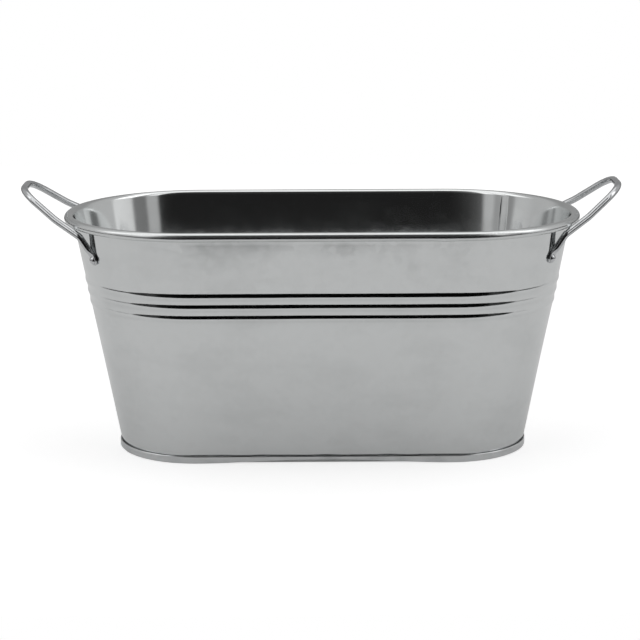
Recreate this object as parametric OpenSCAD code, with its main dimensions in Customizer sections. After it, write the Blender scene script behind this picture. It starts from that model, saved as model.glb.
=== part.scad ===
// Small oval zinc tub: a seamed sheet wall with a wired rim, a bottom locked on by a
// folded seam, and two bent wire handles that are riveted to the ends.
// Millimetres. The origin is on the ground under the middle of the tub, the long way
// runs along X, and the front is at -Y.

/* [Tub] */
// Overall length over the rolled rim, without the handles
rim_length = 300; // [240:1:360]
// Overall width over the rolled rim
rim_width = 152.4; // [130:0.2:180]
// Height from the ground to the crest of the rim
tub_height = 140; // [110:1:180]
// Thickness of the galvanised sheet
sheet = 0.6; // [0.4:0.05:0.8]
// Width over the seam at the foot
foot_width = 93.9; // [84:0.1:110]

/* [Rolled rim] */
// Outside diameter of the roll
roll_diameter = 5.6; // [5:0.1:6]
// Play between the roll and the wire that it is turned over
wire_play = 0.1; // [0.05:0.05:0.2]
// Where the open slit of the roll starts, in degrees round the roll from straight outward
slit_start = 192; // [188:1:200]
// Width of that slit, in degrees
slit_angle = 30; // [20:1:40]

/* [Beads] */
// Number of raised beads round the wall
bead_count = 3; // [1:1:4]
// Height above the ground of the middle of the lowest bead
bead_low = 88.6; // [60:0.1:100]
// Distance from one bead to the next
bead_pitch = 6.4; // [5:0.1:8]
// How far a bead stands out of the wall
bead_rise = 0.45; // [0.2:0.05:0.8]

/* [Wall seam] */
// Direction of the upright lock seam round the right end, in degrees from +X to the back
seam_direction = 56; // [45:1:80]
// Width of the seam
seam_width = 4.6; // [3.5:0.1:7]
// How far the seam stands out inside the tub
seam_rise = 0.7; // [0.4:0.1:1.2]

/* [Bottom] */
// Height of the folded seam that shows as a band round the foot
foot_band = 4.3; // [3.5:0.1:7]
// How high the middle of the bottom is pressed up off the ground
bottom_recess = 3; // [2:0.1:6]
// Width of the flat ring that the tub stands on, from the seam's outer face
standing_ring = 7; // [5:0.1:10]
// Width of the slope between that ring and the raised middle
recess_slope = 2.4; // [2:0.1:5]

/* [Handles] */
// Diameter of the handle wire
handle_wire = 4; // [3.5:0.1:4.2]
// Height above the ground where the wire bends out from under the rim
bend_height = 127.6; // [125:0.1:127.6]
// Half the distance between the two bends of a handle
bend_spread = 36; // [30:0.1:36.8]
// Half the width of the grip, measured where its sides would meet it
grip_spread = 18.8; // [17:0.1:26]
// Radius of the wire's middle line at the corners of the grip
grip_corner = 19; // [10:0.1:19]
// Distance from the bends to the grip on the left handle
left_reach = 45; // [41:0.1:50]
// How far the left handle stands up from level, in degrees
left_lift = 37.2; // [33:0.1:39]
// Distance from the bends to the grip on the right handle
right_reach = 45; // [41:0.1:50]
// How far the right handle stands up from level, in degrees
right_lift = 38.8; // [33:0.1:39]

/* [Riveted tabs] */
// Direction of a tab round the end, in degrees from X
tab_direction = 35; // [31:0.1:38]
// Height above the ground of the rivet
rivet_height = 118.4; // [114:0.1:120]
// Width of the flattened wire end
tab_width = 6.6; // [6:0.1:8]
// Thickness of the flattened wire end
tab_thickness = 1.5; // [1.2:0.1:2]
// Distance from the rivet to the tab's upper end
tab_rise = 5; // [4:0.1:7]
// Diameter of the rivet's shank
rivet_shank = 3; // [2.4:0.1:3.2]
// Diameter of the rivet's domed head
rivet_head = 5; // [4.4:0.1:6]
// Height of that head
rivet_dome = 1.6; // [1.2:0.1:2]
// Diameter of the head that is closed inside the tub
closing_head = 4.4; // [4:0.1:5]
// Height of the closed head
closing_rise = 1; // [0.6:0.1:1.4]

/* [Hidden] */

$fn = 96;
zinc = [0.74, 0.75, 0.76];
bare_wire = [0.62, 0.63, 0.65];
bright_zinc = [0.80, 0.81, 0.82];

// The plan is two half circles joined by straight sides, and every level has the same straight
half_straight = (rim_length - rim_width) / 2;
rim_radius = rim_width / 2;
roll_radius = roll_diameter / 2;
roll_middle = rim_radius - roll_radius;
roll_height = tub_height - roll_radius;

// The sheet's outer face passes the roll's middle at the distance of the roll's inner face
roll_bore = roll_radius - sheet;

// The wall's line meets the ground this far inside the outer face of the foot seam
foot_inset = 1.75;
foot_radius = foot_width / 2;
wall_base = foot_radius - foot_inset;
wall_lean = tangent_lean();
wall_slope = tan(wall_lean);
sheet_level = sheet / cos(wall_lean);

// Layers of the foot seam, where the lip over the wall's hem is a little thicker than the sheet
seam_play = 0.05;
lip_swell = 0.15;
hem_top = foot_band - sheet - lip_swell - seam_play;
hem_radius = foot_radius - sheet - seam_play;

// Beads are arcs of a chord as long as their pitch
bead_radius = (pow(bead_pitch / 2, 2) + pow(bead_rise, 2)) / (2 * bead_rise);
bead_depth = bead_radius - bead_rise;

// The wire swells by this much where it is bent, and its stretches end this far from a bend
knuckle_swell = 0.04;
hair = 0.05;

// The wire's middle line at the bend, which stands a little off the wall
bend_clearance = 0.6;
bend_radius = wall_radius(bend_height) + handle_wire / 2 + bend_clearance;
bend_place = [
    half_straight + sqrt(pow(bend_radius, 2) - pow(bend_spread, 2)),
    bend_spread,
    bend_height
];

// The tab's turn in the wall's plane, from straight up the wall to the bend
tab_place = off_wall(tab_direction, rivet_height, 0);
tab_across = [-sin(tab_direction), cos(tab_direction), 0];
tab_up = [
    sin(wall_lean) * cos(tab_direction),
    sin(wall_lean) * sin(tab_direction),
    cos(wall_lean)
];
tab_turn = -atan2((bend_place - tab_place) * tab_across, (bend_place - tab_place) * tab_up);

// Point over the tab where the leg's middle line ends, with the wire clear of the wall
leg_clearance = 0.35;
leg_foot = off_wall(tab_direction, rivet_height, handle_wire / 2 + leg_clearance)
    + tab_rise * (cos(tab_turn) * tab_up - sin(tab_turn) * tab_across);

// The closed head of a rivet clears the curve of the sheet by this much
head_clearance = 0.07;

// Angle of the wall from upright, so that its line touches the roll: two turns of a fixed point
// rule settle it, because the lean changes the distance by a thousandth only
function lean_from(guess) =
    atan((roll_middle - roll_bore / cos(guess) - wall_base) / roll_height);
function tangent_lean() = lean_from(lean_from(lean_from(10)));

// Outer radius of the wall at a height
function wall_radius(z) = wall_base + wall_slope * z;

// A point at a distance off the wall's outer face, in a direction round the right end
function off_wall(direction, z, distance) =
    let (r = wall_radius(z) + distance * cos(wall_lean))
    [half_straight + r * cos(direction), r * sin(direction), z - distance * sin(wall_lean)];

// Sweeps an upright profile, drawn with the radius along x and the height along y, round the plan
module round_plan() {
    for (turn = [0, 180])
        rotate([0, 0, turn]) {
            translate([half_straight, 0, 0])
                rotate([0, 0, -90])
                    rotate_extrude(angle = 180)
                        children();
            rotate([90, 0, 90])
                linear_extrude(height = 2 * half_straight, center = true)
                    children();
        }
}

// Everything inside a line parallel to the wall, set in by a distance across the sheet,
// with the beads as arcs that share their centres, so that the pressed sheet keeps its thickness
module inside_wall(inset, low, high) {
    shift = inset / cos(wall_lean);
    polygon([
        [0, low],
        [wall_radius(low) - shift, low],
        [wall_radius(high) - shift, high],
        [0, high]
    ]);
    for (i = [0 : bead_count - 1])
        let (z = bead_low + i * bead_pitch)
            translate([wall_radius(z) - bead_depth * cos(wall_lean), z + bead_depth * sin(wall_lean)])
                circle(r = bead_radius - inset);
}

// Cut across the wall: leaning sheet with beads, roll at the top and folded hem at the foot
module wall_profile() {
    touch = [
        roll_middle - roll_bore * cos(wall_lean),
        roll_height + roll_bore * sin(wall_lean)
    ];
    difference() {
        inside_wall(0, sheet, touch[1]);
        inside_wall(sheet, 0, tub_height);
    }
    translate([roll_middle, roll_height])
        difference() {
            circle(r = roll_radius);
            circle(r = roll_bore);
            slit_wedge();
        }
    polygon([
        [wall_radius(sheet) - sheet_level, sheet],
        [hem_radius, sheet],
        [hem_radius, hem_top],
        [wall_radius(hem_top) - sheet / 2, hem_top]
    ]);
}

// Sector that leaves the roll open beside the wall
module slit_wedge() {
    reach = 2 * roll_radius;
    polygon([
        [0, 0],
        for (turn = [slit_start, slit_start + slit_angle]) [reach * cos(turn), reach * sin(turn)]
    ]);
}

// Folded layers of the upright seam: a flat bar along the sheet that stands out inside the tub.
// Its outer side stays a little within the sheet, because the sheet is curved and the bar is not
module seam_bar() {
    low = hem_top;
    high = roll_height - roll_radius;
    cover = 0.1;
    depth = sheet - cover + seam_rise;
    length = (high - low) / cos(wall_lean);
    translate([half_straight, 0, 0])
        rotate([0, 0, seam_direction])
            translate([wall_radius(low) - cover, 0, low])
                rotate([0, wall_lean, 0])
                    translate([-depth, -seam_width / 2, 0])
                        cube([depth, seam_width, length]);
}

module wall() {
    color(zinc)
        difference() {
            union() {
                round_plan() wall_profile();
                seam_bar();
            }
            each_rivet() rivet_hole();
        }
}

module rim_wire() {
    color(bare_wire)
        round_plan()
            translate([roll_middle, roll_height])
                circle(r = roll_bore - wire_play);
}

// Cut across the bottom: raised middle, slope, flat ring on the ground, and the edge folded
// up and over the wall's hem
module bottom_profile() {
    ring_in = foot_radius - standing_ring;
    panel_out = ring_in - recess_slope;
    fold_shift = sheet * tan(atan2(bottom_recess, recess_slope) / 2);
    lip_in = wall_radius(foot_band) + seam_play;
    polygon([
        [0, bottom_recess],
        [panel_out, bottom_recess],
        [ring_in, 0],
        [foot_radius - sheet / 2, 0],
        [foot_radius, sheet / 2],
        [foot_radius, foot_band - sheet / 2],
        [foot_radius - sheet / 2, foot_band],
        [lip_in, foot_band],
        [lip_in, hem_top + seam_play],
        [hem_radius + seam_play, hem_top + seam_play],
        [hem_radius + seam_play, sheet],
        [ring_in + fold_shift, sheet],
        [panel_out + fold_shift, bottom_recess + sheet],
        [0, bottom_recess + sheet]
    ]);
}

module bottom() {
    color(zinc) round_plan() bottom_profile();
}

// Round bar between two points
module bar(from, to, diameter) {
    way = to - from;
    length = norm(way);
    translate(from)
        rotate([0, acos(way[2] / length), atan2(way[1], way[0])])
            cylinder(d = diameter, h = length);
}

// Knuckle of the wire, where two of its stretches meet
module knuckle() {
    sphere(d = handle_wire + knuckle_swell);
}

// Loop of a handle, flat in the x-y plane with its bends at x = 0: two sides that draw together,
// round corners and the straight grip. The stretches end a hair apart inside their knuckles
module grip_loop(reach) {
    draw_in = bend_spread - grip_spread;
    splay = atan(draw_in / reach);
    turn = 90 - splay;
    trim = grip_corner * tan(turn / 2);
    side_length = norm([reach, draw_in]) - trim;
    grip_half = grip_spread - trim;
    hair_angle = 2 * asin(hair / grip_corner);
    for (side = [0, 1])
        mirror([0, side, 0])
            translate([reach - grip_corner, grip_half, 0]) {
                rotate([0, 0, hair_angle / 2])
                    rotate_extrude(angle = turn - hair_angle)
                        translate([grip_corner, 0])
                            circle(d = handle_wire);
                translate([grip_corner, 0, 0])
                    knuckle();
                rotate([0, 0, turn])
                    translate([grip_corner, 0, 0]) {
                        knuckle();
                        translate([0, hair, 0])
                            rotate([-90, 0, 0])
                                cylinder(d = handle_wire, h = side_length - hair);
                        translate([0, side_length, 0])
                            knuckle();
                    }
            }
    translate([reach, 0, 0])
        rotate([90, 0, 0])
            cylinder(d = handle_wire, h = 2 * (grip_half - hair), center = true);
}

// Places its children at a rivet of the right end: x outward off the wall, z up along it,
// and turned so that z runs along the tab to the bend
module at_rivet(side) {
    translate(off_wall(side * tab_direction, rivet_height, 0))
        rotate([0, 0, side * tab_direction])
            rotate([0, wall_lean, 0])
                rotate([side * tab_turn, 0, 0])
                    children();
}

// Puts its children at all four rivets
module each_rivet() {
    for (turn = [0, 180], side = [1, -1])
        rotate([0, 0, turn])
            at_rivet(side)
                children();
}

// Hole that runs clear through a tab and the wall
module rivet_hole() {
    through = 2 * (tab_thickness + sheet + closing_rise);
    rotate([0, 90, 0])
        cylinder(d = rivet_shank + 2 * seam_play, h = through, center = true);
}

// Flattened end of the wire on the wall, round at the foot and holed for its rivet
module tab() {
    end_radius = tab_width / 2;
    difference() {
        translate([seam_play / 2, 0, 0]) {
            rotate([0, 90, 0])
                cylinder(r = end_radius, h = tab_thickness);
            translate([0, -end_radius, 0])
                cube([tab_thickness, tab_width, tab_rise]);
        }
        rivet_hole();
    }
}

// Whole handle at the right end: loop, and at each side the leg down to its tab
module handle(reach, lift) {
    translate([bend_place[0], 0, bend_height])
        rotate([0, -lift, 0])
            grip_loop(reach);
    for (side = [0, 1])
        mirror([0, side, 0]) {
            at_rivet(1) tab();
            bar(bend_place, leg_foot, handle_wire);
            translate(leg_foot) knuckle();
        }
}

module left_handle() {
    color(bright_zinc) mirror([1, 0, 0]) handle(left_reach, left_lift);
}

module right_handle() {
    color(bright_zinc) handle(right_reach, right_lift);
}

// Rivet with a domed head on the tab, a shank through tab and wall, and a closed head inside
module rivet() {
    grip_in = sheet + head_clearance;
    cap_radius = (pow(rivet_head / 2, 2) + pow(rivet_dome, 2)) / (2 * rivet_dome);
    tab_face = tab_thickness + seam_play / 2;
    rotate([0, 90, 0]) {
        translate([0, 0, -grip_in - closing_rise / 2])
            cylinder(d = rivet_shank, h = grip_in + tab_face + closing_rise);
        translate([0, 0, -grip_in - closing_rise])
            cylinder(d1 = rivet_shank, d2 = closing_head, h = closing_rise);
        translate([0, 0, tab_face])
            intersection() {
                translate([0, 0, rivet_dome - cap_radius]) sphere(r = cap_radius);
                cylinder(d = 2 * rivet_head, h = 2 * rivet_dome);
            }
    }
}

module handle_rivets() {
    color(bright_zinc) each_rivet() rivet();
}

wall();
rim_wire();
bottom();
left_handle();
right_handle();
handle_rivets();
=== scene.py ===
"""Looks of a small oval zinc tub: bright galvanised sheet, rolled rim and bent wire handles."""

import logging
import math
from dataclasses import dataclass, field
from enum import Enum
from typing import Any

import bmesh
import bpy
import numpy as np
from mathutils import Matrix, Vector


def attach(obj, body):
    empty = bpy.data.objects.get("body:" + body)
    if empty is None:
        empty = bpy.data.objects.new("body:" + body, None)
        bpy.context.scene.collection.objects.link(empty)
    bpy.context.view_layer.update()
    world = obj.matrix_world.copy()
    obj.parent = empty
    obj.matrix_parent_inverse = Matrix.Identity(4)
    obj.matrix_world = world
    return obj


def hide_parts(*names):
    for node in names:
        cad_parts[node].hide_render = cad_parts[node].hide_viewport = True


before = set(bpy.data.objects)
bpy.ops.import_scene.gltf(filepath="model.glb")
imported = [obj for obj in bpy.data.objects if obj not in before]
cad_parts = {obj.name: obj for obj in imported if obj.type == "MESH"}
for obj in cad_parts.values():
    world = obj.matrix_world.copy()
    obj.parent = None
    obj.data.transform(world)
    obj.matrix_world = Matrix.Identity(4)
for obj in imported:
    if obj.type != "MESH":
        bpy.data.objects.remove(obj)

LOG = logging.getLogger("zinc_tub")
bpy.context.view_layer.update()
MM = 0.001


class Slot(Enum):
    """Material slots of the record."""

    SHEET = "zinc_sheet"
    WIRE = "zinc_wire"
    CORE = "steel_wire"


# Shape helpers


def smooth_step(x: np.ndarray) -> np.ndarray:
    """Ease from 0 to 1 as 3x² - 2x³, flat outside that range.

    Args:
        x: Values, 0 where the ease starts and 1 where it ends.

    Returns:
        The eased values.
    """
    t = np.clip(x, 0.0, 1.0)
    return t * t * (3.0 - 2.0 * t)


def bell(x: np.ndarray, width: float) -> np.ndarray:
    """Bell curve exp(-(x / width)²)."""
    return np.exp(-((x / width) ** 2))


def unit(v: np.ndarray) -> np.ndarray:
    """Vectors along the last axis, each divided by its length."""
    return v / np.linalg.norm(v, axis=-1, keepdims=True)


def arc(centre: tuple[float, float], radius: float, start: float, end: float, count: int) -> np.ndarray:
    """Points on a circle: centre plus radius times the cosine and sine of the angle.

    Args:
        centre: Middle of the circle.
        radius: Its radius.
        start: First angle in degrees.
        end: Last angle in degrees.
        count: Number of points.

    Returns:
        Array of (count, 2).
    """
    a = np.radians(np.linspace(start, end, count))
    return np.stack([centre[0] + radius * np.cos(a), centre[1] + radius * np.sin(a)], -1)


def eased_line(start: np.ndarray, end: np.ndarray, count: int, pull: float = 0.75) -> np.ndarray:
    """Points on a line that crowd towards both ends, so that shading stays flat beside a fold.

    Args:
        start: First point.
        end: Last point.
        count: Number of points.
        pull: Share of the cosine spacing in the mix with even spacing.

    Returns:
        Array of (count, 2).
    """
    even = np.linspace(0.0, 1.0, count)
    t = (1.0 - pull) * even + pull * 0.5 * (1.0 - np.cos(np.pi * even))
    return start[None, :] + t[:, None] * (end - start)[None, :]


def grid_quads(rows: int, columns: int, wrap_rows: bool, wrap_columns: bool) -> np.ndarray:
    """Corner numbers of the quads of a grid whose points are counted row by row.

    Args:
        rows: Number of rows of points.
        columns: Number of points in a row.
        wrap_rows: Whether the last row joins the first.
        wrap_columns: Whether the last column joins the first.

    Returns:
        Array of (quads, 4).
    """
    r = np.arange(rows if wrap_rows else rows - 1)
    c = np.arange(columns if wrap_columns else columns - 1)
    r, c = np.meshgrid(r, c, indexing="ij")
    r1, c1 = (r + 1) % rows, (c + 1) % columns
    return np.stack([r * columns + c, r1 * columns + c, r1 * columns + c1, r * columns + c1], -1).reshape(-1, 4)


@dataclass
class Surface:
    """Mesh under construction: lists of points and faces of several grids."""

    name: str
    points: list[np.ndarray] = field(default_factory=list)
    faces: list[np.ndarray] = field(default_factory=list)
    count: int = 0

    def add_grid(self, grid: np.ndarray, wrap_rows: bool = False, wrap_columns: bool = False) -> None:
        """Add one grid of points with its quads.

        Args:
            grid: Array of (rows, columns, 3) in millimetres.
            wrap_rows: Whether the last row joins the first.
            wrap_columns: Whether the last column joins the first.
        """
        rows, columns = grid.shape[:2]
        self.faces.append(grid_quads(rows, columns, wrap_rows, wrap_columns) + self.count)
        self.points.append(grid.reshape(-1, 3))
        self.count += rows * columns

    def build(self, slot: Slot, replaces: str) -> bpy.types.Object:
        """Make the object: merge seams and poles, turn the faces outward, shade it smooth and ride it.

        Args:
            slot: Material slot of the record; not used.
            replaces: CAD node that the piece stands for.

        Returns:
            The new object.
        """
        mesh = bpy.data.meshes.new(self.name)
        mesh.from_pydata((np.concatenate(self.points) * MM).tolist(), [], np.concatenate(self.faces).tolist())
        work = bmesh.new()
        work.from_mesh(mesh)
        bmesh.ops.remove_doubles(work, verts=work.verts, dist=2e-6)
        bmesh.ops.dissolve_degenerate(work, edges=work.edges, dist=1e-7)
        bmesh.ops.recalc_face_normals(work, faces=work.faces)
        work.to_mesh(mesh)
        work.free()
        mesh.polygons.foreach_set("use_smooth", np.ones(len(mesh.polygons), dtype=bool))
        mesh.update()
        piece = bpy.data.objects.new(self.name, mesh)
        bpy.context.scene.collection.objects.link(piece)
        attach(piece, "root")
        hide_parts(replaces)
        LOG.info("%s: %d faces, stands for %s", self.name, len(mesh.polygons), replaces)
        return piece


# Shader helpers


@dataclass(frozen=True)
class Signal:
    """One output socket of a node tree, so that shader maths reads as Python."""

    tree: "Nodes"
    socket: bpy.types.NodeSocket

    def _math(self, operation: str, first: Any, second: Any = None) -> "Signal":
        """Add a Math node with one or two inputs and return its result."""
        inputs = {0: first} if second is None else {0: first, 1: second}
        return self.tree.add("ShaderNodeMath", {"operation": operation}, inputs)

    def __add__(self, other: Any) -> "Signal":
        """Sum."""
        return self._math("ADD", self, other)

    def __radd__(self, other: Any) -> "Signal":
        """Sum with the value on the right."""
        return self._math("ADD", other, self)

    def __sub__(self, other: Any) -> "Signal":
        """Difference."""
        return self._math("SUBTRACT", self, other)

    def __rsub__(self, other: Any) -> "Signal":
        """Difference with the value on the right."""
        return self._math("SUBTRACT", other, self)

    def __mul__(self, other: Any) -> "Signal":
        """Product."""
        return self._math("MULTIPLY", self, other)

    def __rmul__(self, other: Any) -> "Signal":
        """Product with the value on the right."""
        return self._math("MULTIPLY", other, self)

    def __truediv__(self, other: Any) -> "Signal":
        """Quotient."""
        return self._math("DIVIDE", self, other)

    def __rtruediv__(self, other: Any) -> "Signal":
        """Quotient with the value below the line."""
        return self._math("DIVIDE", other, self)

    def size(self) -> "Signal":
        """Value without its sign."""
        return self._math("ABSOLUTE", self)

    def root(self) -> "Signal":
        """Square root."""
        return self._math("SQRT", self)

    def angle_from(self, other: "Signal") -> "Signal":
        """Angle in radians whose sine goes with this value and whose cosine goes with the other."""
        return self._math("ARCTAN2", self, other)


@dataclass(frozen=True)
class Nodes:
    """A node tree that adds nodes from a type, settings and input values."""

    tree: bpy.types.NodeTree

    @staticmethod
    def pick(sockets: Any, key: int | str) -> bpy.types.NodeSocket:
        """The socket with a number, or the first enabled one with a name."""
        if isinstance(key, int):
            return sockets[key]
        return next(s for s in sockets if s.enabled and s.name == key)

    def add(
        self, kind: str, settings: dict[str, Any] | None = None,
        inputs: dict[int | str, Any] | None = None, output: int | str = 0,
    ) -> Signal:
        """Add one node.

        Args:
            kind: The node's type.
            settings: Properties to set first; "stops" gives a ramp's places and greys or colours.
            inputs: Values or signals of the input sockets, by number or name.
            output: The output socket to return.

        Returns:
            The output as a signal.
        """
        node = self.tree.nodes.new(kind)
        for name, value in (settings or {}).items():
            if name == "stops":
                self._set_stops(node.color_ramp, value)
            else:
                setattr(node, name, value)
        for key, value in (inputs or {}).items():
            socket = self.pick(node.inputs, key)
            if isinstance(value, Signal):
                self.tree.links.new(value.socket, socket)
            else:
                socket.default_value = value
        return Signal(self, self.pick(node.outputs, output) if node.outputs else None)

    @staticmethod
    def _set_stops(ramp: bpy.types.ColorRamp, stops: list[tuple[float, Any]]) -> None:
        """Give a colour ramp its stops, each a place and a grey or a colour."""
        while len(ramp.elements) < len(stops):
            ramp.elements.new(1.0)
        for element, (place, tone) in zip(ramp.elements, stops):
            element.position = place
            element.color = (tone, tone, tone, 1.0) if isinstance(tone, float) else (*tone, 1.0)

    def noise(self, at: Signal, scale: float, detail: float = 2.0, roughness: float = 0.5) -> Signal:
        """Smooth noise from 0 to 1 at a position."""
        inputs = {"Vector": at, "Scale": scale, "Detail": detail, "Roughness": roughness}
        return self.add("ShaderNodeTexNoise", {"noise_dimensions": "3D"}, inputs)

    def ease(self, value: Signal, start: float, end: float, low: float = 0.0, high: float = 1.0) -> Signal:
        """Smooth step of a value from low at start to high at end."""
        inputs = {"Value": value, "From Min": start, "From Max": end, "To Min": low, "To Max": high}
        return self.add("ShaderNodeMapRange", {"interpolation_type": "SMOOTHSTEP"}, inputs)

    def mix_colours(self, factor: Signal | float, first: Any, second: Any) -> Signal:
        """Mix of two colours."""
        inputs = {"Factor": factor, "A": first, "B": second}
        return self.add("ShaderNodeMix", {"data_type": "RGBA"}, inputs, "Result")

    def stretched(self, scale: tuple[float, float, float]) -> Signal:
        """Object coordinates with each axis scaled."""
        place = self.add("ShaderNodeTexCoord", output="Object")
        return self.add("ShaderNodeMapping", {}, {"Vector": place, "Scale": scale}, "Vector")


Colour = tuple[float, float, float]


@dataclass(frozen=True)
class Galvanised:
    """Bright hot-dipped zinc: mirror-like, with faint clouds, smudges and a slightly uneven surface.

    Attributes:
        name: Name of the material.
        bright: Colour of the clean metal.
        dull: Colour where it is smudged.
        gloss: Roughness of the clean metal.
        haze: Roughness where it is smudged.
        cloud: Size of the clouds in metres.
        ripple: Height of the uneven surface in metres.
        ripple_size: Width of its waves in metres.
        grain: Height of the fine grain in metres.
        crystal: How far the zinc crystals change the colour and the roughness.
        rim_haze: Roughness of the rolled rim's outer side, where the sheet is worked.
        half_straight: Half the length of the tub's straight sides in metres.
    """

    name: str
    bright: Colour
    dull: Colour
    gloss: float
    haze: float
    cloud: float
    ripple: float
    ripple_size: float
    grain: float
    crystal: float = 0.0
    rim_haze: float = 0.0
    half_straight: float = 0.0738

    def material(self) -> bpy.types.Material:
        """Build the material.

        Returns:
            The new material.
        """
        made = bpy.data.materials.new(self.name)
        made.use_nodes = True
        made.node_tree.nodes.clear()
        nodes = Nodes(made.node_tree)
        place = nodes.stretched((1.0, 1.0, 1.0))
        clouds = nodes.noise(place, 1.0 / self.cloud, 4.0, 0.55)
        smears = nodes.noise(nodes.stretched((1.0, 1.0, 3.5)), 0.6 / self.cloud, 3.0, 0.6)
        specks = nodes.noise(place, 14.0 / self.cloud, 2.0, 0.6)
        smudge = nodes.ease(clouds * 0.55 + smears * 0.45, 0.44, 0.66)
        worn = (smudge * 0.8 + nodes.ease(specks, 0.55, 0.75) * 0.2)
        cells = nodes.add("ShaderNodeTexVoronoi", {}, {"Vector": place, "Scale": 1.0 / 0.0042}, "Color")
        shade = nodes.add("ShaderNodeSeparateColor", {}, {"Color": cells}, "Red") - 0.5
        colour = nodes.mix_colours(
            worn + shade * self.crystal * 2.0, (*self.bright, 1.0), (*self.dull, 1.0)
        )
        rough = self.gloss + worn * (self.haze - self.gloss) + shade * (self.crystal * 0.2)
        if self.rim_haze > 0.0:
            x, y, up = (nodes.add("ShaderNodeSeparateXYZ", {}, {"Vector": place}, axis) for axis in "XYZ")
            past = x.size() - self.half_straight
            past = (past + past.size()) * 0.5
            outward = nodes.ease((past * past + y * y).root(), 0.0733, 0.0739)
            rolled = nodes.ease(up, 0.1345, 0.1355) * outward
            rough = rough + rolled * (self.rim_haze - rough)
        waves = nodes.noise(place, 1.0 / self.ripple_size, 1.0, 0.4)
        fine = nodes.noise(place, 1400.0, 2.0, 0.5)
        height = waves * self.ripple + fine * self.grain
        normal = nodes.add(
            "ShaderNodeBump", {}, {"Strength": 1.0, "Distance": 1.0, "Height": height}, "Normal"
        )
        shader = nodes.add("ShaderNodeBsdfPrincipled", {}, {
            "Base Color": colour, "Metallic": 1.0, "Roughness": rough, "Normal": normal,
        })
        nodes.add("ShaderNodeOutputMaterial", {}, {"Surface": shader})
        return made


SHEET_ZINC = Galvanised(
    name="bright_zinc_sheet", bright=(0.765, 0.78, 0.78), dull=(0.715, 0.73, 0.73),
    gloss=0.09, haze=0.145, cloud=0.035, ripple=0.00004, ripple_size=0.022, grain=0.0000006,
    crystal=0.15, rim_haze=0.24,
)
FOOT_ZINC = Galvanised(
    name="folded_zinc_foot", bright=(0.74, 0.75, 0.755), dull=(0.60, 0.61, 0.62),
    gloss=0.16, haze=0.28, cloud=0.012, ripple=0.00003, ripple_size=0.008, grain=0.000001,
)
WIRE_ZINC = Galvanised(
    name="dipped_zinc_wire", bright=(0.64, 0.65, 0.66), dull=(0.50, 0.51, 0.52),
    gloss=0.09, haze=0.2, cloud=0.008, ripple=0.00005, ripple_size=0.006, grain=0.0000015,
)
BARE_WIRE = Galvanised(
    name="bare_steel_wire", bright=(0.52, 0.53, 0.54), dull=(0.40, 0.40, 0.40),
    gloss=0.3, haze=0.45, cloud=0.01, ripple=0.00002, ripple_size=0.004, grain=0.000002,
)


# The tub


@dataclass(frozen=True)
class Plan:
    """Oval plan: two half circles joined by straight sides.

    Attributes:
        half_straight: Half the length of the straight sides.
        turns: Direction of each column from the middle line, in radians.
        middles: Place on the middle line that each column is measured from.
    """

    half_straight: float
    turns: np.ndarray
    middles: np.ndarray

    @classmethod
    def of(cls, half_straight: float, per_end: int, per_side: int, extra: tuple[float, ...] = ()) -> "Plan":
        """Spread columns round the plan, against the clock from the front of the right end.

        Args:
            half_straight: Half the length of the straight sides.
            per_end: Columns round each end.
            per_side: Columns along each side.
            extra: Directions in degrees that get a column of their own on the right end.

        Returns:
            The plan.
        """
        right = np.union1d(np.linspace(-90.0, 90.0, per_end), np.array(extra))
        left = np.linspace(90.0, 270.0, per_end)
        along = np.linspace(half_straight, -half_straight, per_side + 2)[1:-1]
        turns = np.concatenate([right, np.full(per_side, 90.0), left, np.full(per_side, 270.0)])
        middles = np.concatenate([
            np.full(len(right), half_straight), along, np.full(per_end, -half_straight), -along,
        ])
        return cls(half_straight, np.radians(turns), middles)

    def sweep(self, radii: np.ndarray, heights: np.ndarray) -> np.ndarray:
        """Carry a profile round the plan: each point lies its radius away from the middle line.

        Args:
            radii: Radius of each profile point, shape (points,) or (columns, points).
            heights: Height of each profile point, in the same shape.

        Returns:
            Grid of (columns, points, 3).
        """
        shape = (len(self.turns), radii.shape[-1])
        r, z = np.broadcast_to(radii, shape), np.broadcast_to(heights, shape)
        x = self.middles[:, None] + r * np.cos(self.turns)[:, None]
        return np.stack([x, r * np.sin(self.turns)[:, None], z], -1)


@dataclass(frozen=True)
class TubSizes:
    """Sizes of the tub in millimetres, as in the part's source."""

    half_straight: float = 73.8
    height: float = 140.0
    roll_middle: float = 73.39
    roll_radius: float = 2.8
    sheet: float = 0.6
    wall_base: float = 45.2
    foot_radius: float = 46.95
    foot_band: float = 4.3
    bead_heights: tuple[float, ...] = (88.6, 95.0, 101.4)
    bead_rise: float = 0.45
    seam_direction: float = 56.8

    @property
    def roll_height(self) -> float:
        """Height of the roll's middle."""
        return self.height - self.roll_radius

    @property
    def roll_bore(self) -> float:
        """Inner radius of the roll."""
        return self.roll_radius - self.sheet

    @property
    def lean(self) -> float:
        """Angle of the wall from upright in radians, so that its outer face touches the roll's bore."""
        guess = 0.18
        for _ in range(4):
            reach = self.roll_middle - self.roll_bore / math.cos(guess) - self.wall_base
            guess = math.atan(reach / self.roll_height)
        return guess

    def wall_radius(self, z: Any) -> Any:
        """Outer radius of the wall at a height."""
        return self.wall_base + math.tan(self.lean) * z

    def off_wall(self, direction: float, z: float, distance: float) -> np.ndarray:
        """Point at a distance off the wall's outer face on the right end, direction in radians."""
        r = self.wall_radius(z) + distance * math.cos(self.lean)
        x = self.half_straight + r * math.cos(direction)
        return np.array([x, r * math.sin(direction), z - distance * math.sin(self.lean)])


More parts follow.
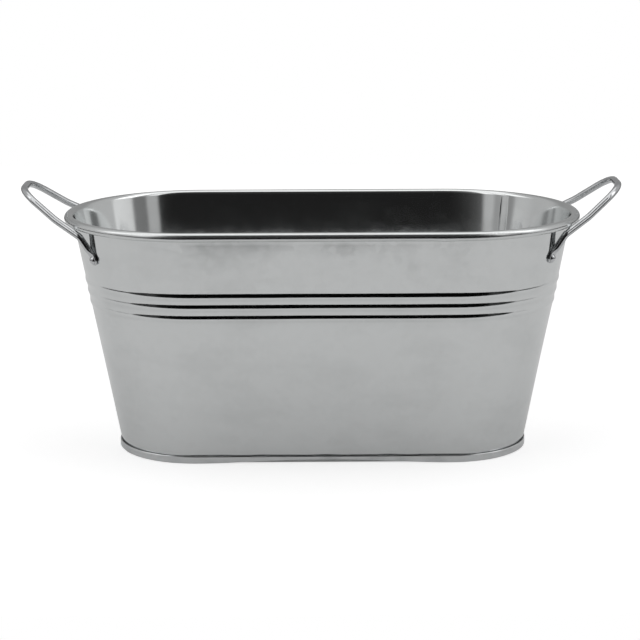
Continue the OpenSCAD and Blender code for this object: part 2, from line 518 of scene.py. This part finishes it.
@dataclass
class Wall:
    """Wall sheet with its beads, its rolled rim and its upright seam.

    Attributes:
        sizes: Sizes of the tub.
        bead_half_width: Half the width of a bead.
        seam_width: Width of the upright seam.
        seam_rise: How far the seam stands out inside.
        wave: Height of the slow waves in the sheet.
        roll_end: Angle round the roll where the sheet's edge lies.
        roll_flat: Share of its height that the roll's lower half keeps, pressed flat by the rolling.
        bore_flat: The same share for the roll's inner face, which still clears the wire.
    """

    sizes: TubSizes
    bead_half_width: float = 2.7
    seam_width: float = 4.2
    seam_rise: float = -0.3
    wave: float = 0.07
    roll_end: float = -140.0
    roll_flat: float = 0.84
    bore_flat: float = 0.9

    def bead(self, z: np.ndarray) -> np.ndarray:
        """How far the beads stand out at a height: half a cosine wave over each bead."""
        out = np.zeros_like(z)
        for middle in self.sizes.bead_heights:
            t = np.clip((z - middle) / self.bead_half_width, -1.0, 1.0)
            out = np.maximum(out, self.sizes.bead_rise * 0.5 * (1.0 + np.cos(np.pi * t)))
        return out

    def heights(self) -> np.ndarray:
        """Heights of the rows from the hem to where the sheet turns into the roll."""
        s = self.sizes
        low, high = s.bead_heights[0] - self.bead_half_width, s.bead_heights[-1] + self.bead_half_width
        top = s.roll_height + s.roll_bore * math.sin(s.lean)
        below = np.linspace(s.sheet, low, 12)
        beads = np.linspace(low, high, 53)
        above = np.linspace(high, top, 7)
        return np.concatenate([below[:-1], beads, above[1:]])

    def waves(self, grid: np.ndarray) -> np.ndarray:
        """Slow unevenness of the sheet: sines of the place, faded out at the foot and the rim."""
        x, y, z = grid[..., 0], grid[..., 1], grid[..., 2]
        w = np.sin(0.071 * x + 0.043 * z + 0.6) + 0.8 * np.sin(0.113 * y - 0.062 * z + 1.9)
        w += 0.6 * np.sin(0.052 * x - 0.094 * y + 0.085 * z + 4.1) + 0.5 * np.sin(0.16 * x + 0.031 * y + 2.2)
        fade = smooth_step(z / 25.0) * smooth_step((134.0 - z) / 14.0)
        return self.wave * w * fade

    def profile(self) -> tuple[np.ndarray, np.ndarray, np.ndarray]:
        """Cut across the sheet as one closed line.

        Returns:
            Points of (count, 2), the share of the wall's waves at each, and a mask of its inner face.
        """
        s = self.sizes
        z = self.heights()
        across = np.array([math.cos(s.lean), -math.sin(s.lean)])
        outer = np.stack([s.wall_radius(z), z], -1) + self.bead(z)[:, None] * across
        inner = np.stack([s.wall_radius(z), z], -1) + (self.bead(z) - s.sheet)[:, None] * across
        centre = (s.roll_middle, s.roll_height)
        touch = 180.0 - math.degrees(s.lean)
        bore = arc(centre, s.roll_bore, touch, self.roll_end, 36)[1:]
        middle = (s.roll_bore + s.roll_radius) / 2
        end = np.array(centre) + middle * np.array(
            [math.cos(math.radians(self.roll_end)), math.sin(math.radians(self.roll_end))]
        )
        edge = end + 0.12 * np.array(
            [math.sin(math.radians(self.roll_end)), -math.cos(math.radians(self.roll_end))]
        )
        roll = arc(centre, s.roll_radius, self.roll_end, touch, 56)[:-1]
        for line, share in ((bore, self.bore_flat), (edge[None], self.roll_flat), (roll, self.roll_flat)):
            line[:, 1] = centre[1] + np.where(line[:, 1] < centre[1], share, 1.0) * (line[:, 1] - centre[1])
        foot = np.array([[s.wall_radius(s.sheet) - s.sheet / 2, s.sheet * 0.9]])
        points = np.concatenate([outer, bore, edge[None], roll, inner[::-1], foot])
        waved = np.concatenate([np.ones(len(outer)), np.zeros(len(bore) + 1 + len(roll)), np.ones(len(inner)), [0.0]])
        inside = np.concatenate([np.zeros(len(outer) + len(bore) + 1), np.zeros(len(roll)), np.ones(len(inner)), [0.0]])
        return points, waved, inside

    def rim_flaws(self, plan: Plan, points: np.ndarray) -> tuple[np.ndarray, np.ndarray]:
        """Swelling of the roll where its ends meet at the front; its faint waviness is weighted by zero and adds
        nothing.

        Args:
            plan: Plan of the columns.
            points: Profile points.

        Returns:
            Radius and height to add at each column and profile point.
        """
        s = self.sizes
        off = points - np.array([s.roll_middle, s.roll_height])
        on_roll = smooth_step((np.hypot(off[:, 0], off[:, 1]) - 2.0) / 0.6) * (points[:, 1] > 132.0)
        on_roll = on_roll * (np.hypot(off[:, 0], off[:, 1]) < 3.2)
        front = np.sin(plan.turns) < -0.999
        lap = np.where(front, bell(plan.middles - 67.0, 5.0), 0.0)
        low = smooth_step((-off[:, 1] - 0.2) / 2.0) * on_roll
        x = plan.middles + 70.0 * np.cos(plan.turns)
        wander = 0.12 * np.sin(0.061 * x + 0.8 * plan.turns) + 0.08 * np.sin(0.13 * x + 2.0)
        radius = lap[:, None] * (0.0 * on_roll)[None, :]
        height = -lap[:, None] * (0.45 * low)[None, :] + wander[:, None] * (0.5 * on_roll)[None, :] * 0
        return radius, height

    def build(self) -> bpy.types.Object:
        """Make the wall as one closed sheet swept round the plan.

        Returns:
            The wall.
        """
        s = self.sizes
        half = math.degrees(self.seam_width / 2 / 67.0)
        flank = 0.35
        marks = [s.seam_direction + side * (half + step) for side in (-1, 1) for step in (-flank, -0.05, 0.05, flank)]
        plan = Plan.of(s.half_straight, 141, 52, tuple(marks))
        points, waved, inside = self.profile()
        grid = plan.sweep(points[:, 0], points[:, 1])
        away = np.stack([
            np.cos(plan.turns) * math.cos(s.lean), np.sin(plan.turns) * math.cos(s.lean),
            np.full_like(plan.turns, -math.sin(s.lean)),
        ], -1)
        lift = self.waves(grid) * waved
        near = np.degrees(plan.turns) - s.seam_direction
        ridge = smooth_step((half - np.abs(near)) / 0.3 + 0.5) * (plan.middles > s.half_straight - 1e-6)
        below_roll = smooth_step((s.roll_height - s.roll_radius - points[:, 1]) / 0.8)
        lift = lift - self.seam_rise * ridge[:, None] * (inside * below_roll)[None, :]
        grid = grid + lift[..., None] * away[:, None, :]
        radius, height = self.rim_flaws(plan, points)
        grid[..., 0] += radius * np.cos(plan.turns)[:, None]
        grid[..., 1] += radius * np.sin(plan.turns)[:, None]
        grid[..., 2] += height
        surface = Surface("wall_sheet")
        surface.add_grid(grid, wrap_rows=True, wrap_columns=True)
        return surface.build(Slot.SHEET, "wall")


@dataclass
class Bottom:
    """Pressed bottom, folded up and over the wall's hem at the foot.

    Attributes:
        sizes: Sizes of the tub.
        recess: How high the middle is pressed up.
        ring: Width of the flat ring on the ground.
        slope: Width of the slope up to the middle.
        arch: How far the fold's lower edge is off the ground in the middle of the long sides.
    """

    sizes: TubSizes
    recess: float = 3.0
    ring: float = 7.0
    slope: float = 2.4
    arch: float = 2.0

    def profile(self) -> np.ndarray:
        """Cut across the bottom as one open line from the middle line out and back.

        Returns:
            Points of (count, 2).
        """
        s = self.sizes
        ring_in = s.foot_radius - self.ring
        panel = ring_in - self.slope
        lip = s.wall_radius(s.foot_band) + 0.02
        corner = 0.55
        under = eased_line(np.array([0.0, self.recess]), np.array([panel, self.recess]), 9)
        flat = eased_line(np.array([ring_in, 0.0]), np.array([s.foot_radius - corner, 0.0]), 6)
        fold = arc((s.foot_radius - corner, corner), corner, -90.0, 0.0, 8)[1:]
        rise = arc((s.foot_radius - corner, s.foot_band - corner), corner, 0.0, 90.0, 9)
        band = eased_line(fold[-1], rise[0], 7)[1:-1]
        tip = np.array([[lip + 0.1, s.foot_band - 0.1], [lip, s.foot_band - 0.35], [lip, 3.55], [lip, 3.0]])
        low = np.array([[s.wall_radius(s.sheet) - 0.3, s.sheet]])
        slope = eased_line(low[0], np.array([ring_in + 0.29, s.sheet]), 5)[1:]
        top = eased_line(np.array([panel + 0.29, self.recess + s.sheet]), np.array([0.0, self.recess + s.sheet]), 9)
        return np.concatenate([under, flat, fold, band, rise, tip, low, slope, top])

    def build(self) -> bpy.types.Object:
        """Make the bottom as one closed sheet swept round the plan.

        Returns:
            The bottom.
        """
        s = self.sizes
        plan = Plan.of(s.half_straight, 121, 48)
        points = self.profile()
        grid = plan.sweep(points[:, 0], points[:, 1])
        long_side = np.where(np.abs(np.sin(plan.turns)) > 0.999, 1.0, 0.0)
        rise = self.arch * long_side * smooth_step((s.half_straight - np.abs(plan.middles)) / 66.0)
        edge = smooth_step((points[:, 0] - (s.foot_radius - 3.0)) / 2.4) * smooth_step((3.6 - points[:, 1]) / 3.4)
        grid[..., 2] += rise[:, None] * edge[None, :]
        x, y = grid[..., 0], grid[..., 1]
        outer = smooth_step((points[:, 0] - (s.foot_radius - 0.6)) / 0.5)
        knock = 0.10 * np.sin(0.19 * x + 0.11 * y) + 0.07 * np.sin(0.33 * x - 0.27 * y + 1.3)
        pull = (knock - 0.17) * outer[None, :]
        grid[..., 0] += pull * np.cos(plan.turns)[:, None]
        grid[..., 1] += pull * np.sin(plan.turns)[:, None]
        surface = Surface("bottom_sheet")
        surface.add_grid(grid, wrap_rows=True)
        return surface.build(Slot.SHEET, "bottom")


def rounded_path(corners: np.ndarray, radii: list[float], step: float) -> np.ndarray:
    """Carry a line through corner points and turn each corner on an arc of its radius.

    Each arc lies in the plane of its two sides: its middle stands on their half angle, at the
    radius over the cosine of half the turn, and its ends at the radius times the tangent of that.

    Args:
        corners: Corner points of (count, 3), the first and last being the line's ends.
        radii: Radius of the arc at each inner corner.
        step: Distance between points.

    Returns:
        Points of (count, 3).
    """
    parts, start = [], corners[0]
    for k, radius in enumerate(radii, start=1):
        back, ahead = unit(corners[k - 1] - corners[k]), unit(corners[k + 1] - corners[k])
        half_turn = (math.pi - math.acos(float(np.clip(back @ ahead, -1.0, 1.0)))) / 2
        trim = radius * math.tan(half_turn)
        enter, leave = corners[k] + back * trim, corners[k] + ahead * trim
        middle = corners[k] + unit(back + ahead) * radius / math.cos(half_turn)
        count = max(2, int(np.linalg.norm(enter - start) / step))
        parts.append(start + np.linspace(0.0, 1.0, count, endpoint=False)[:, None] * (enter - start))
        a, b = enter - middle, leave - middle
        turns = np.linspace(0.0, 1.0, max(4, int(radius * 2 * half_turn / step)), endpoint=False)[:, None]
        full = 2 * half_turn
        parts.append(middle + (np.sin((1 - turns) * full) * a + np.sin(turns * full) * b) / math.sin(full))
        start = leave
    count = max(2, int(np.linalg.norm(corners[-1] - start) / step) + 1)
    parts.append(start + np.linspace(0.0, 1.0, count)[:, None] * (corners[-1] - start))
    return np.concatenate(parts)


def carried_frames(path: np.ndarray, across: np.ndarray) -> tuple[np.ndarray, np.ndarray]:
    """Directions across and off a path that turn with it and never twist about it.

    The first direction is carried from point to point by taking away its part along the path.

    Args:
        path: Points of (count, 3).
        across: Direction across the path at its first point.

    Returns:
        Unit directions across the path and off it, each of (count, 3).
    """
    along = unit(np.gradient(path, axis=0))
    carried = np.empty_like(path)
    current = across
    for k in range(len(path)):
        current = unit(current - (current @ along[k]) * along[k])
        carried[k] = current
    return carried, np.cross(along, carried)


@dataclass
class Handle:
    """Bent wire handle, flattened at both ends where it is riveted to the wall.

    Attributes:
        name: Name of the piece.
        node: CAD node that it stands for.
        side: 1 for the right end, -1 for the left.
        reach: Distance from the bends to the grip.
        lift: How far it stands up from level, in degrees.
        sizes: Sizes of the tub.
    """

    name: str
    node: str
    side: int
    reach: float
    lift: float
    sizes: TubSizes
    wire: float = 4.0
    bend_height: float = 131.7
    bend_spread: float = 38.6
    bend_stand: float = 4.4
    bend_radius: float = 3.0
    bow_place: float = 0.4
    bow_out: float = 0.3
    bow_down: float = 1.1
    bow_radius: float = 40.0
    grip_spread: float = 17.8
    grip_corner: float = 19.8
    tab_direction: float = 35.0
    rivet_height: float = 118.4
    tab_width: float = 6.2
    tab_thickness: float = 1.5

    def bend_place(self) -> np.ndarray:
        """Middle of the wire where it bends out below the roll, on the right end at the back."""
        s = self.sizes
        r = s.wall_radius(self.bend_height) + self.bend_stand
        return np.array([s.half_straight + math.sqrt(r * r - self.bend_spread**2), self.bend_spread, self.bend_height])

    def tab_frame(self) -> tuple[np.ndarray, np.ndarray, np.ndarray]:
        """Place of the rivet on the wall, direction up along the tab, and direction off the wall."""
        s, d = self.sizes, math.radians(self.tab_direction)
        place = s.off_wall(d, self.rivet_height, 0.0)
        off = np.array([math.cos(s.lean) * math.cos(d), math.cos(s.lean) * math.sin(d), -math.sin(s.lean)])
        aim = self.bend_place() - place
        return place, unit(aim - (aim @ off) * off), off

    def centre_line(self) -> np.ndarray:
        """Middle line of half the handle, from the foot of the back tab to the middle of the grip.

        Returns:
            Points of (count, 3).
        """
        place, up, off = self.tab_frame()
        near = self.tab_thickness / 2 + 0.03
        lift = math.radians(self.lift)
        out = np.array([math.cos(lift), 0.0, math.sin(lift)])
        bend = self.bend_place()
        grip = np.array([bend[0], 0.0, bend[2]]) + out * self.reach
        corner = grip + np.array([0.0, self.grip_spread, 0.0])
        bow = np.array([math.sin(lift) * self.bow_down, self.bow_out, -math.cos(lift) * self.bow_down])
        corners = np.array([
            place - up * self.tab_width / 2 + off * near,
            place + up * 3.2 + off * near,
            bend,
            bend + (corner - bend) * self.bow_place + bow,
            corner,
            grip,
        ])
        return rounded_path(corners, [5.0, self.bend_radius, self.bow_radius, self.grip_corner], 0.55)

    def build(self) -> bpy.types.Object:
        """Make the handle: a superellipse carried along its line, flat on the tabs and round above.

        Returns:
            The handle.
        """
        path = self.centre_line()
        _, up, off = self.tab_frame()
        across, away = carried_frames(path, np.cross(off, up))
        run = np.concatenate([[0.0], np.cumsum(np.linalg.norm(np.diff(path, axis=0), axis=1))])
        r = self.tab_width / 2
        round_share = smooth_step((run - r - 1.8) / 6.0)
        end = np.sqrt(np.clip(1.0 - np.clip((r - run) / r, 0.0, 1.0) ** 2, 0.0, 1.0))
        half_width = (r + (self.wire / 2 - r) * round_share) * end
        tip = np.clip(run / 0.5, 0.0, 1.0)
        half_thick = (self.tab_thickness / 2 + (self.wire / 2 - self.tab_thickness / 2) * round_share) * np.sqrt(tip)
        power = 0.5 + 0.5 * round_share
        angle = np.linspace(0.0, 2 * math.pi, 28, endpoint=False)
        c, s = np.cos(angle)[None, :], np.sin(angle)[None, :]
        ring_x = np.sign(c) * np.abs(c) ** power[:, None] * half_width[:, None]
        ring_y = np.sign(s) * np.abs(s) ** power[:, None] * half_thick[:, None]
        half = path[:, None, :] + ring_x[..., None] * across[:, None, :] + ring_y[..., None] * away[:, None, :]
        other = half[::-1][1:] * np.array([1.0, -1.0, 1.0])
        grid = np.concatenate([half, other]) * np.array([self.side, 1.0, 1.0])
        surface = Surface(self.name)
        surface.add_grid(grid, wrap_columns=True)
        return surface.build(Slot.WIRE, self.node)


@dataclass
class Rivets:
    """Four rivets with domed heads on the tabs and closed heads inside the wall.

    Attributes:
        handle: Handle that gives the places.
        head: Diameter of the domed head.
        dome: Height of the domed head.
        shank: Diameter of the shank.
        closed: Diameter of the closed head.
        closed_rise: Height of the closed head.
    """

    handle: Handle
    head: float = 5.0
    dome: float = 1.55
    shank: float = 3.0
    closed: float = 4.4
    closed_rise: float = 1.0

    def profile(self) -> np.ndarray:
        """Radius and height along the rivet's axis, from the crest of the dome to the closed head."""
        seat = self.handle.tab_thickness + 0.03
        inner = -(self.handle.sizes.sheet + 0.07)
        ball = ((self.head / 2) ** 2 + self.dome**2) / (2 * self.dome)
        edge = math.degrees(math.acos((ball - self.dome) / ball))
        dome = arc((0.0, seat + self.dome - ball), ball, 90.0, 90.0 - edge, 12)
        shank = self.shank / 2
        body = np.array([[shank, seat], [shank, inner]])
        cap = arc((self.closed / 2 - 0.35, inner - 0.35), 0.35, 90.0, -40.0, 7)
        low = np.array([[shank * 0.8, inner - self.closed_rise], [0.0, inner - self.closed_rise - 0.05]])
        return np.concatenate([dome, body, cap, low])

    def build(self) -> bpy.types.Object:
        """Turn the profile round each rivet's axis.

        Returns:
            The four rivets as one piece.
        """
        place, up, off = self.handle.tab_frame()
        across = np.cross(off, up)
        points = self.profile()
        turn = np.linspace(0.0, 2 * math.pi, 40, endpoint=False)
        ring = np.cos(turn)[:, None] * up + np.sin(turn)[:, None] * across
        grid = place + points[None, :, :1] * ring[:, None, :] + points[None, :, 1:] * off
        surface = Surface("rivets")
        for sx in (1.0, -1.0):
            for sy in (1.0, -1.0):
                surface.add_grid(grid * np.array([sx, sy, 1.0]), wrap_rows=True)
        return surface.build(Slot.WIRE, "handle_rivets")


# The studio


@dataclass
class Studio:
    """Pale floor, soft light all round, dark room on the camera's side, and the camera.

    Attributes:
        target: Point that the camera is measured from, in metres.
        distance: Distance of the camera from it.
        pitch: Angle that the camera looks down, in degrees.
        yaw: Angle of the tub's front from the camera, in degrees.
        roll: Turn of the picture with the clock, in degrees.
        focal: Focal length in pixels of a picture 640 pixels wide.
        aim: Pixels from the middle of the picture to the target, right and down.
        picture: Width of the picture in pixels.
        overhead: Brightness of the light above.
        round_light: Brightness of the room round the tub, by direction in degrees from the
            camera, positive to the right, as the shiny sheet mirrors it.
        high_gain: How much brighter the room is high up beside and behind the camera.
        below: Share of the room's light that comes from below the table top.
        floor_front: Place of the floor's front edge.
        floor_back: Place of its back edge.
        floor_side: Distance of its side edges from the middle.
        floor_tone: Reflectance of the floor.
        floor_glow: Light that the floor shows to the camera alone, so that it is white.
        floor_sheen: Light that the floor shows to the shiny metal alone.
    """

    target: tuple[float, float, float] = (0.0, 0.0, 0.07005)
    distance: float = 1.2
    pitch: float = 13.13
    yaw: float = 0.45
    roll: float = -0.20
    focal: float = 2030.0
    aim: tuple[float, float] = (2.4, 6.4)
    picture: int = 640
    overhead: float = 1.1
    high_gain: float = 1.5
    below: float = 0.08
    round_light: tuple[tuple[float, float], ...] = (
        (-180.0, 0.5), (-95.0, 0.52), (-86.0, 0.58), (-73.5, 0.6), (-70.5, 0.3), (-65.0, 0.27),
        (-62.5, 0.52), (-59.5, 0.54), (-56.0, 0.36), (-51.5, 0.34), (-48.0, 0.52), (-40.0, 0.5),
        (-36.5, 0.11), (-31.0, 0.075), (-23.0, 0.042), (-15.0, 0.026), (-5.0, 0.015),
        (25.0, 0.015), (34.0, 0.02), (39.5, 0.05), (42.0, 0.46), (52.0, 0.45), (54.0, 0.19),
        (67.0, 0.21), (69.5, 0.7), (84.0, 0.78), (90.0, 0.8), (92.5, 0.52), (180.0, 0.5),
    )
    floor_front: float = -0.285
    floor_back: float = 1.1
    floor_side: float = 0.78
    floor_tone: float = 0.64
    floor_glow: float = 0.66
    floor_sheen: float = 0.17

    def camera(self) -> bpy.types.Object:
        """Stand the camera where the photograph was taken from.

        Returns:
            The camera.
        """
        e, a = math.radians(self.pitch), math.radians(self.yaw)
        look = Vector((math.sin(a) * math.cos(e), math.cos(a) * math.cos(e), -math.sin(e)))
        right = Vector((math.cos(a), -math.sin(a), 0.0))
        up = right.cross(look)
        place = Vector(self.target) - self.distance * look
        pixel = self.distance / self.focal
        aim = Vector(self.target) - right * self.aim[0] * pixel + up * self.aim[1] * pixel
        data = bpy.data.cameras.new("camera")
        data.sensor_width = 36.0
        data.lens = self.focal / self.picture * data.sensor_width
        data.clip_start, data.clip_end = 0.05, 20.0
        camera = bpy.data.objects.new("camera", data)
        turn = (aim - place).to_track_quat("-Z", "Y").to_matrix().to_4x4()
        camera.matrix_world = Matrix.Translation(place) @ turn @ Matrix.Rotation(math.radians(self.roll), 4, "Z")
        bpy.context.scene.collection.objects.link(camera)
        bpy.context.scene.camera = camera
        return camera

    def world(self) -> None:
        """Light from above and the sides, darkness behind the camera, and white behind the tub."""
        world = bpy.data.worlds.new("studio")
        bpy.context.scene.world = world
        world.use_nodes = True
        world.node_tree.nodes.clear()
        nodes = Nodes(world.node_tree)
        way = nodes.add("ShaderNodeTexCoord", output="Generated")
        x = nodes.add("ShaderNodeSeparateXYZ", {}, {"Vector": way}, "X")
        y = nodes.add("ShaderNodeSeparateXYZ", {}, {"Vector": way}, "Y")
        z = nodes.add("ShaderNodeSeparateXYZ", {}, {"Vector": way}, "Z")
        a = math.radians(self.yaw)
        nearer = x * -math.sin(a) + y * -math.cos(a)
        rightward = x * math.cos(a) + y * -math.sin(a)
        turn = rightward.angle_from(nearer) / (2 * math.pi) + 0.5
        stops = [((degrees + 180.0) / 360.0, tone) for degrees, tone in self.round_light]
        sides = nodes.add("ShaderNodeValToRGB", {"stops": stops}, {"Fac": turn}, "Color")
        high = nodes.ease(z, 0.25, 0.55) * nodes.ease(nearer, -0.2, 0.1)
        behind = nodes.ease(nearer, -0.8, -0.45, 0.65, 1.0)
        under = nodes.ease(z, -0.04, -0.015, self.below, 1.0)
        room = sides * behind * (1.0 + high * self.high_gain) * under
        above = nodes.ease(z - nearer * 0.15, 0.87, 0.94)
        light = room + above * (self.overhead - room)
        light = nodes.add("ShaderNodeCombineColor", {}, {"Red": light, "Green": light, "Blue": light}, "Color")
        seen = nodes.add("ShaderNodeLightPath", output="Is Camera Ray")
        shade = nodes.mix_colours(seen, light, (1.0, 1.0, 1.0, 1.0))
        glow = nodes.add("ShaderNodeBackground", {}, {"Color": shade, "Strength": 1.0})
        nodes.add("ShaderNodeOutputWorld", {}, {"Surface": glow})

    def floor(self) -> bpy.types.Object:
        """Pale table top that ends a little in front of the tub.

        Returns:
            The floor.
        """
        front, back, side = self.floor_front, self.floor_back, self.floor_side
        mesh = bpy.data.meshes.new("floor")
        corners = [(-side, front, 0.0), (side, front, 0.0), (side, back, 0.0), (-side, back, 0.0)]
        mesh.from_pydata(corners, [], [(0, 1, 2, 3)])
        floor = bpy.data.objects.new("floor", mesh)
        bpy.context.scene.collection.objects.link(floor)
        made = bpy.data.materials.new("pale_floor")
        made.use_nodes = True
        made.node_tree.nodes.clear()
        nodes = Nodes(made.node_tree)
        paint = nodes.add("ShaderNodeBsdfDiffuse", {}, {"Color": (*[self.floor_tone] * 3, 1.0)})
        seen = nodes.add("ShaderNodeLightPath", output="Is Camera Ray")
        mirrored = nodes.add("ShaderNodeLightPath", output="Is Glossy Ray")
        shown = seen * self.floor_glow + mirrored * self.floor_sheen
        glow = nodes.add("ShaderNodeEmission", {}, {"Color": (1.0, 1.0, 1.0, 1.0), "Strength": shown})
        both = nodes.add("ShaderNodeAddShader", {}, {0: paint, 1: glow})
        nodes.add("ShaderNodeOutputMaterial", {}, {"Surface": both})
        floor.data.materials.append(made)
        return floor


def dress(piece: bpy.types.Object, material: bpy.types.Material) -> None:
    """Give a piece one material all over."""
    piece.data.materials.clear()
    piece.data.materials.append(material)


def main() -> None:
    """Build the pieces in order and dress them."""
    logging.basicConfig(level=logging.INFO, format="%(name)s: %(message)s")
    bpy.context.scene.view_settings.view_transform = "Standard"
    sizes = TubSizes()
    sheet, foot, wire = SHEET_ZINC.material(), FOOT_ZINC.material(), WIRE_ZINC.material()
    dress(Wall(sizes).build(), sheet)
    dress(Bottom(sizes).build(), foot)
    right = Handle("right_handle_wire", "right_handle", 1, 41.3, 35.5, sizes)
    left = Handle("left_handle_wire", "left_handle", -1, 41.35, 33.7, sizes)
    dress(right.build(), wire)
    dress(left.build(), wire)
    dress(Rivets(right).build(), wire)
    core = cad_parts["rim_wire"]
    for slot in core.material_slots:
        slot.material = BARE_WIRE.material()
    studio = Studio()
    studio.world()
    studio.floor()
    studio.camera()


if __name__ == "__main__":
    main()
